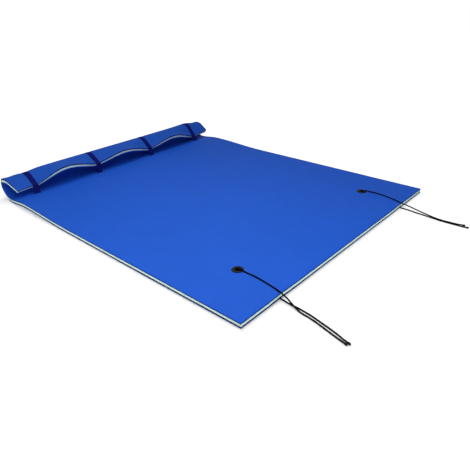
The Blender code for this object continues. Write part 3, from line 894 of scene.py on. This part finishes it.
# %% The three layers
LAYER_PARTING = 0.0001
EDGE_ROUNDING = 0.0009
EDGE_STEPS = 2
ROUNDED_ANGLE = math.radians(50)
SHARP_ANGLE = math.radians(45)
CORE_TOP = BOTTOM_LAYER + CORE_LAYER
# Each layer's name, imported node, underside, top, and the finishes of its skins and cut edges
LAYERS = (
    ("bottom_foam", "bottom_foam_layer", 0.0, BOTTOM_LAYER - LAYER_PARTING, (under_skin, under_cut_painted_shade)),
    ("core_foam", "core_foam_layer", BOTTOM_LAYER, CORE_TOP - LAYER_PARTING, (core_cut, core_cut)),
    ("deck_foam", "top_foam_layer", CORE_TOP, SHEET, (top_skin, top_cut)),
)


def rounded_edges(layer):
    """Rounds a layer's cut edges a little, and keeps the corners between its faces crisp."""
    soften = layer.modifiers.new("soften", "BEVEL")
    soften.width = EDGE_ROUNDING
    soften.segments = EDGE_STEPS
    soften.limit_method = "ANGLE"
    soften.angle_limit = ROUNDED_ANGLE
    soften.use_clamp_overlap = True
    applied(layer)
    layer.data.shade_smooth()
    layer.data.set_sharp_from_angle(angle=SHARP_ANGLE)


for name, node, low, high, finishes in LAYERS:
    layer = foam_shell(name, low, high, finishes)
    pocket = name == "bottom_foam"
    radius = GROMMET_FLANGE / 2 if pocket else GROMMET_BORE / 2 + GROMMET_WALL
    cutters = []
    for side, centre in GROMMETS.items():
        cutters.append(round_cutter(centre, radius + SKIN_GAP))
        if pocket:
            cutters.append(channel_cutter(side))
    cut_out(layer, cutters)
    rounded_edges(layer)
    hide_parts(node)
    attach(layer, "root")
    print(name, len(layer.data.polygons), "faces")

# %% [markdown]
# ## Webbing straps
#
# Each strap is a band of woven polyester, 38 mm wide and 2 mm thick: a loop up through its slit, down
# over the roll and back, with its ends sewn over each other behind the pillow. A flat band with square
# edges looks like card, so its section here is a flattened oval with slightly thicker selvedges.

# %% The strap's path
LAP_SHARES = (0.40, 0.95)
LAP_RAMP_SHARE = 0.03
PAST_SLIT = 0.012
STRAP_DECK_CELLS = 12
STRAP_TOE_CELLS = 26
STRAP_CELLS = {"crown": 20, "flap": 14}
CORNER_STEPS = 8
DROP_STEPS = 6
SLIT_STEPS = 3


def doubled_at(stretch, place):
    """1 where the strap's two ends lie over each other, 0 where it is single."""
    start, end = LAP_SHARES
    ramps = ((place - start) / LAP_RAMP_SHARE, (end - place) / LAP_RAMP_SHARE)
    return min(map(smooth_step, ramps)) if stretch == "toe" else 0.0


def strap_path(number):
    """A strap's middle line: points of the section, and the stretch and place that each belongs to."""
    x, droop = STRAP_PLACES[number - 1], droop_at(number)
    lap_start, lap_end = LAP_SHARES
    toe = set(spread(0, 1, STRAP_TOE_CELLS)[1:])
    toe |= {lap_start, lap_start + LAP_RAMP_SHARE, lap_end - LAP_RAMP_SHARE, lap_end}
    deck = [SLIT_PLACE] + spread(SLIT_PLACE + PAST_SLIT, DECK_LENGTH, STRAP_DECK_CELLS)
    places = [("deck", place) for place in deck] + [("toe", place) for place in sorted(toe)]
    for stretch, cells in STRAP_CELLS.items():
        places += [(stretch, place) for place in spread(0, 1, cells)[1:]]
    line = []
    for stretch, place in places:
        point = section(stretch, place, droop, strap_press(x, stretch, place) - STRAP_ROOM)
        line.append((point, stretch, place))
    # Round the outer corner of the flap's cut edge, then straight down into the slit
    corner = section("flap", 1, droop, strap_press(x, "flap", 1))
    mouth = section("deck", SLIT_PLACE, droop, SHEET)
    drop = mouth - corner
    lean = math.atan2(drop.x, -drop.y) + math.asin(STRAP_ROOM / drop.length)
    turns = spread(math.pi / 2 + droop, math.pi + lean, CORNER_STEPS)[1:]
    free = [corner + polar(STRAP_ROOM, turn) for turn in turns]
    free += [free[-1].lerp(mouth, share) for share in spread(0, 1, DROP_STEPS)[1:]]
    free += [mouth.lerp(line[0][0], share) for share in spread(0, 1, SLIT_STEPS)[1:-1]]
    return line + [(point, "flap", 1) for point in free]


# %% [markdown]
# ### Woven navy webbing
#
# The weave is a plain one, with ribs that run across the band. Brick rows on the strap's own map give
# warp threads that go over and under in turn.

# %% Webbing finish
THREAD_LENGTH = 0.0019
THREAD_WIDTH = 0.0012
THREAD_GAP = 0.00022
RIB_DEPTH = 0.0004

webbing, tree, shader = finish("navy_webbing", (0.006, 0.009, 0.130), 0.8, Specular_IOR_Level=0.05)
weave = {
    "Vector": own_map(tree), "Scale": 1.0, "Brick Width": THREAD_LENGTH, "Row Height": THREAD_WIDTH,
    "Mortar Size": THREAD_GAP, "Mortar Smooth": 1.0,
    "Color1": WHITE, "Color2": (0.75, 0.75, 0.75, 1), "Mortar": (0, 0, 0, 1),
}
warp = add(tree, "TexBrick", weave, offset=0.5).outputs["Color"]
fibre = noise(tree, metres(tree), scale=1400.0, detail=2.0)
lustre = maths(tree, "ADD", maths(tree, "MULTIPLY", fibre, 0.5), 0.75)
threads = maths(tree, "MULTIPLY", warp, lustre)
coloured(tree, shader, threads, (0.002, 0.003, 0.060), (0.008, 0.012, 0.190))
raised(tree, shader, threads, RIB_DEPTH)
print(webbing.name, "has threads", THREAD_LENGTH, "by", THREAD_WIDTH, "metres")

# %% A strap from its path
SHARPEST_MITRE = 0.4
STRAP_SHAPE = [
    (-0.500, 0.00), (-0.493, 0.32), (-0.470, 0.50), (-0.430, 0.52), (-0.30, 0.46), (-0.15, 0.44), (0.0, 0.44),
    (0.15, 0.44), (0.30, 0.46), (0.430, 0.52), (0.470, 0.50), (0.493, 0.32), (0.500, 0.00),
]
STRAP_SHAPE += [(across, -up) for across, up in reversed(STRAP_SHAPE[1:-1])]


def on_part(side, flat, stretch, place):
    """The part's place for a point of the section, at this X, with the roll's fullness there."""
    return Vector((side, flat.x + NEAR_EDGE, flat.y + fullness(side, stretch, place)))


def band(name, number, made):
    """The closed loop, its section swept along the path, with a map across and along in metres."""
    path, x = strap_path(number), STRAP_PLACES[number - 1]
    count, walked = len(path), 0.0
    points, stations = [], []
    for station, (point, stretch, place) in enumerate(path):
        before = (point - path[station - 1][0]).normalized()
        after = (path[(station + 1) % count][0] - point).normalized()
        mitre = Vector(((before + after).y, -(before + after).x)).normalized()
        reach = STRAP_THICKNESS / max(SHARPEST_MITRE, mitre.dot(Vector((after.y, -after.x))))
        if station:
            walked += (point - path[station - 1][0]).length
        stations.append(walked)
        for share, up in STRAP_SHAPE:
            lift = up * reach + (doubled_at(stretch, place) * STRAP_THICKNESS if up >= 0 else 0.0)
            points.append(on_part(x + share * STRAP_WIDTH, point + mitre * lift, stretch, place))
    stations.append(walked + (path[0][0] - path[-1][0]).length)
    across = [share * STRAP_WIDTH for share, _ in STRAP_SHAPE + STRAP_SHAPE[:1]]
    faces, uvs = skin_over(count, stations, across)
    return new_mesh(name, points, faces, [made], uvs)


# %% [markdown]
# ### Box-and-cross sewing
#
# Where a strap's two ends lie over each other they are sewn with the seam that straps under load get:
# a box with both its diagonals. A bump map of stitches would look flat from close by, so here each
# stitch is a small round of thread, half sunk in the webbing.

# %% Navy thread
TWIST_DEPTH = 0.0002

thread, tree, shader = finish("navy_thread", (0.008, 0.015, 0.170), 0.6, Specular_IOR_Level=0.15)
twist = noise(tree, metres(tree), scale=1800.0, detail=2.0)
coloured(tree, shader, twist, (0.005, 0.010, 0.120), (0.012, 0.022, 0.230))
raised(tree, shader, twist, TWIST_DEPTH)
print(thread.name, "is twisted", TWIST_DEPTH, "metres deep")

# %% The seam of one strap
STITCH_LENGTH = 0.0034
STITCH_GIRTH = 0.0011
STITCH_STEP = 0.0043
STITCH_SEGMENTS, STITCH_RINGS = 8, 6
SEAM_CELLS = 60
BOX_SHARES = (0.47, 0.88)
BOX_HALF = 0.0145
LAP_FACE_SHARE = 1.44


def on_lap(number, across, place):
    """A place on the outer face of a strap's lap, and the way out of that face."""
    x, droop = STRAP_PLACES[number - 1], droop_at(number)
    over = STRAP_ROOM + STRAP_THICKNESS * LAP_FACE_SHARE
    flat = section("toe", place, droop, strap_press(x, "toe", place) - over)
    out = middle("toe", place, droop)[1] - math.pi / 2
    return on_part(x + across, flat, "toe", place), Vector((0, math.cos(out), math.sin(out)))


def sewing(name, number, made):
    """One seam round a box and over its two diagonals, as short round stitches."""
    low, high = BOX_SHARES
    corners = {"a": (-BOX_HALF, low), "b": (BOX_HALF, low), "c": (BOX_HALF, high), "d": (-BOX_HALF, high)}
    size = Matrix.Diagonal((STITCH_LENGTH / 2, STITCH_GIRTH / 2, STITCH_GIRTH / 2, 1))
    bm = bmesh.new()
    for start, end in ("ab", "bc", "cd", "da", "ac", "bd"):
        (u, first), (v, last) = corners[start], corners[end]
        seam = [on_lap(number, u + (v - u) * t, first + (last - first) * t) for t in spread(0, 1, SEAM_CELLS)]
        stitches = max(2, round(line_length([point for point, _ in seam]) / STITCH_STEP))
        for stitch in range(stitches):
            at = (stitch + 0.5) / stitches * SEAM_CELLS
            (here, out), (there, _) = seam[int(at)], seam[int(at) + 1]
            along = (there - here).normalized()
            turn = Matrix((along, out.cross(along).normalized(), out)).transposed().to_4x4()
            bmesh.ops.create_uvsphere(
                bm, u_segments=STITCH_SEGMENTS, v_segments=STITCH_RINGS, radius=1.0,
                matrix=Matrix.Translation(here.lerp(there, at % 1)) @ turn @ size,
            )
    sewn = from_bmesh(name, bm)
    sewn.data.materials.append(made)
    sewn.data.shade_smooth()
    return sewn


# %% Straps and seams in place
for number in range(1, STRAP_COUNT + 1):
    strap = band(f"webbing_strap_{number}", number, webbing)
    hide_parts(f"pillow_strap_{number}")
    seam = sewing(f"strap_seam_{number}", number, thread)
    for piece in (strap, seam):
        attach(piece, "root")
    print(strap.name, len(strap.data.polygons), "faces;", seam.name, len(seam.data.polygons), "faces")

# %% [markdown]
# ## Tie cords
#
# Each cord is a length of black elastic, folded double through its grommet, so that two strands come
# out. One lies on the deck, falls off the near edge and ends on the floor; the other leaves below, in
# the channel that it presses in the soft foam. The routes are the CAD model's, walked as one smooth
# curve, and on the deck they follow the skin, which here is not quite flat. A strand could be a curve
# with a bevel, but a mesh tube carries a map of its own, which the braid follows.

# %% Braided black sheath
YARNS_ROUND = 8.0
BRAID_TURN = 0.05
BRAID_DEPTH = 0.0005

braid, tree, shader = finish("black_braided_cord", (0.002, 0.002, 0.002), 0.9, Specular_IOR_Level=0.04)
split = add(tree, "SeparateXYZ", {"Vector": own_map(tree)}).outputs
around = maths(tree, "MULTIPLY", split["X"], YARNS_ROUND)
advance = maths(tree, "MULTIPLY", split["Y"], YARNS_ROUND / BRAID_TURN)
waves = []
for operation in ("ADD", "SUBTRACT"):
    phase = maths(tree, "MULTIPLY", maths(tree, operation, around, advance), math.tau)
    waves.append(maths(tree, "SINE", phase))
yarn = ranged(tree, maths(tree, "MAXIMUM", *waves), 0.0, 1.0)
speck = noise(tree, metres(tree), scale=900.0, detail=3.0)
height = maths(tree, "ADD", yarn, maths(tree, "MULTIPLY", speck, 0.35))
coloured(tree, shader, yarn, (0.0005, 0.0005, 0.0005), (0.005, 0.005, 0.006))
raised(tree, shader, height, BRAID_DEPTH)
print("each yarn goes once round the cord in", BRAID_TURN, "metres")

# %% [markdown]
# ### Where a strand runs
#
# A strand starts in the middle of its grommet's bore and bends out, over the flange or below the mat.
# Then it takes its route. Elastic cord can't kink, so the route is one smooth curve, walked in even
# steps of a few millimetres.

# %% The line of a strand
CORD_BEND = 0.0155
BEND_STEPS = 8
CORD_SPACING = 0.006


def strand_line(side, level_name):
    """A strand's whole line, from the bore's middle to the face of its end cap."""
    upper = level_name == "upper"
    level, sign = (ON_FLANGE, 1) if upper else (ON_FLOOR, -1)
    centre = GROMMETS[side]
    route = [Vector(p) for p in ROUTES[f"{side}_{level_name}"]]
    towards = Vector((route[0].x, route[0].y, 0)).normalized()
    bend = [Vector((0, 0, (ON_FLANGE + ON_FLOOR) / 2 + sign * SKIN_GAP / 2))]
    for turn in spread(0, math.pi / 2, BEND_STEPS):
        out = CORD_BEND * (1 - math.cos(turn))
        bend.append(towards * out + Vector((0, 0, level - sign * CORD_BEND * (1 - math.sin(turn)))))
    bend = [centre + p for p in bend]
    free = smooth_through([bend[-1]] + [centre + p for p in route])
    line = bend + spaced(free[CURVE_STEPS:], CORD_SPACING)
    if upper:
        # The deck's own rise carries the strand, and fades as the strand comes down to the floor
        for p in line:
            share = min(1.0, max(0.0, (p.z - ON_FLOOR) / (ON_MAT - ON_FLOOR)))
            p.z += share * deck_rise(p.x, max(p.y, NEAR_EDGE))
    return line


# %% [markdown]
# ### Crimped end caps
#
# In the photograph each strand ends in a small dark lump. Such cords are finished with a short plastic
# cap that is crimped on, so that is what each gets: an outline turned round the strand's end, with six
# shallow dents where the jaws pressed. A boolean could cut the dents, but changing the radius on the way
# round leaves a cleaner skin.

# %% A crimped cap, turned about the strand's end
CAP_LENGTH = 0.0135
SOCKET_DEPTH = 0.0085
SOCKET_PLAY = 0.0001
MOUTH_SHARE = 0.03
MOUTH_EASE = 0.0002
CAP_OUTLINE_SHARES = (
    (0.0, 0.80), (0.02, 0.86), (0.05, 0.96), (0.09, 1.0), (0.36, 1.0), (0.41, 0.97), (0.46, 0.90), (0.50, 0.88),
    (0.54, 0.90), (0.59, 0.97), (0.64, 1.0), (0.84, 0.98), (0.90, 0.93), (0.95, 0.84), (0.98, 0.73), (1.0, 0.58),
)
CAP_SIDES = 48
CRIMPS = 6
CRIMP_DEPTH_SHARE = 0.07
CRIMP_PLACE_SHARE = 0.5
CRIMP_WIDTH_SHARE = 0.07
CAP_SHARP_ANGLE = math.radians(40)


def crimped(turn, along):
    """The share of the radius that the crimping jaws leave at a turn round the cap."""
    groove = math.exp(-((along - CRIMP_PLACE_SHARE) / CRIMP_WIDTH_SHARE) ** 2)
    return 1 - CRIMP_DEPTH_SHARE * groove * (1 + math.cos(CRIMPS * turn)) / 2


def end_cap(name, face, along, made):
    """A short cap with a socket that the strand's end sits in. face is the middle of its open end."""
    frame_turn = along.to_track_quat("Z", "Y").to_matrix()
    socket = CORD_RADIUS + SOCKET_PLAY
    inside = [(SOCKET_DEPTH / CAP_LENGTH, socket), (MOUTH_SHARE, socket), (0.0, socket + MOUTH_EASE)]
    outside = [(share, CAP_DIAMETER / 2 * girth) for share, girth in CAP_OUTLINE_SHARES]
    rings = inside + outside
    points = []
    for number, (share, radius) in enumerate(rings):
        for turn in spread(0, math.tau, CAP_SIDES)[:-1]:
            r = radius * (crimped(turn, share) if number >= len(inside) else 1)
            spoke = Vector((r * math.cos(turn), r * math.sin(turn), share * CAP_LENGTH))
            points.append(face + frame_turn @ spoke)
    faces, _ = skin_over(len(rings), range(len(rings)), range(CAP_SIDES + 1))
    cap = new_mesh(name, points, faces + end_faces(len(rings), CAP_SIDES), [made])
    cap.data.set_sharp_from_angle(angle=CAP_SHARP_ANGLE)
    return cap


# %% Black cap plastic
cap_plastic, tree, shader = finish("black_cap_plastic", (0.003, 0.003, 0.003), 0.5, Specular_IOR_Level=0.08)
haze = noise(tree, metres(tree), scale=500.0, detail=4.0)
coloured(tree, shader, haze, (0.001, 0.001, 0.001), (0.006, 0.006, 0.006))
roughened(tree, shader, haze, 0.38, 0.55)
raised(tree, shader, haze, 0.0001)

# %% Strands and caps in place
CORD_SIDES = 20
LAST_STEPS = 3
SOCKET_FLOOR_PLAY = 0.0004

for side in GROMMETS:
    for level_name in ("upper", "lower"):
        line = strand_line(side, level_name)
        along = (line[-1] - line[-1 - LAST_STEPS]).normalized()
        cap = end_cap(f"{side}_crimped_cap_{level_name}", line[-1] + along * SKIN_GAP, along, cap_plastic)
        line.append(line[-1] + along * (SKIN_GAP + SOCKET_DEPTH - SOCKET_FLOOR_PLAY))
        body = tube(f"{side}_tie_cord_{level_name}", line, CORD_RADIUS, CORD_SIDES, braid)
        for piece, kind in ((body, "cord"), (cap, "end_cap")):
            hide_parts(f"{side}_{kind}_{level_name}")
            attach(piece, "root")

# %% [markdown]
# ## Grommets
#
# A grommet is two turned rings of black plastic, pressed together through the foam: a domed flange
# with a barrel above, a flat washer below. Turning a profile about an upright axis gives both.

# %% Black moulded plastic
plastic, tree, shader = finish("black_grommet_plastic", (0.003, 0.003, 0.003), 0.5, Specular_IOR_Level=0.08)
where = metres(tree)
scuff = noise(tree, where, scale=180.0, detail=6.0, roughness=0.7)
fine = noise(tree, where, scale=1500.0, detail=1.0)
coloured(tree, shader, scuff, (0.001, 0.001, 0.001), (0.006, 0.005, 0.005))
roughened(tree, shader, scuff, 0.42, 0.60)
raised(tree, shader, fine, 0.00008)

# %% Turned rings
RING_SIDES = 96
RING_SHARP_ANGLE = math.radians(50)


def ring(name, outline, centre, made):
    """A closed outline of (radius, height) points turned about an upright axis through centre."""
    turns = spread(0, math.tau, RING_SIDES)[:-1]
    points = []
    for r, h in outline:
        points += [centre + Vector((r * math.cos(turn), r * math.sin(turn), h)) for turn in turns]
    faces, _ = skin_over(len(outline), range(len(outline) + 1), range(RING_SIDES + 1))
    turned = new_mesh(name, points, faces, [made])
    turned.data.set_sharp_from_angle(angle=RING_SHARP_ANGLE)
    return turned


# %% The flange and the washer in place
WASHER_HEIGHT = 0.0014
DOME_STEPS = 24
BORE_EASE, FOOT_EASE = 0.0004, 0.0006

bore, outer = GROMMET_BORE / 2, GROMMET_FLANGE / 2
seat, foot = SHEET + SKIN_GAP, BOTTOM_LAYER - WASHER_HEIGHT - SKIN_GAP
lip = FLANGE_HEIGHT / 2
dome = (outer - bore) / 2
flange_outline = [(bore + GROMMET_WALL, foot), (bore + GROMMET_WALL, seat), (outer - lip / 2, seat)]
for turn in spread(math.pi, 0, DOME_STEPS):
    height = seat + lip / 2 + (FLANGE_HEIGHT - lip / 2) * math.sin(turn)
    flange_outline.append((bore + dome - dome * math.cos(turn), height))
flange_outline += [(bore, foot + FOOT_EASE), (bore + BORE_EASE, foot)]

top, inner = BOTTOM_LAYER - SKIN_GAP, bore + GROMMET_WALL + SKIN_GAP
base, ease = top - WASHER_HEIGHT, WASHER_HEIGHT / 4
washer_outline = [
    (inner, base + ease), (inner + ease, base), (outer - ease, base), (outer, base + ease),
    (outer, top - ease), (outer - ease, top), (inner, top),
]
for side, centre in GROMMETS.items():
    for part, outline in (("flange", flange_outline), ("washer", washer_outline)):
        piece = ring(f"{side}_{part}", outline, centre, plastic)
        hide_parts(f"{side}_grommet_{part}")
        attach(piece, "root")
    print(side, "grommet at", tuple(round(v, 4) for v in centre))
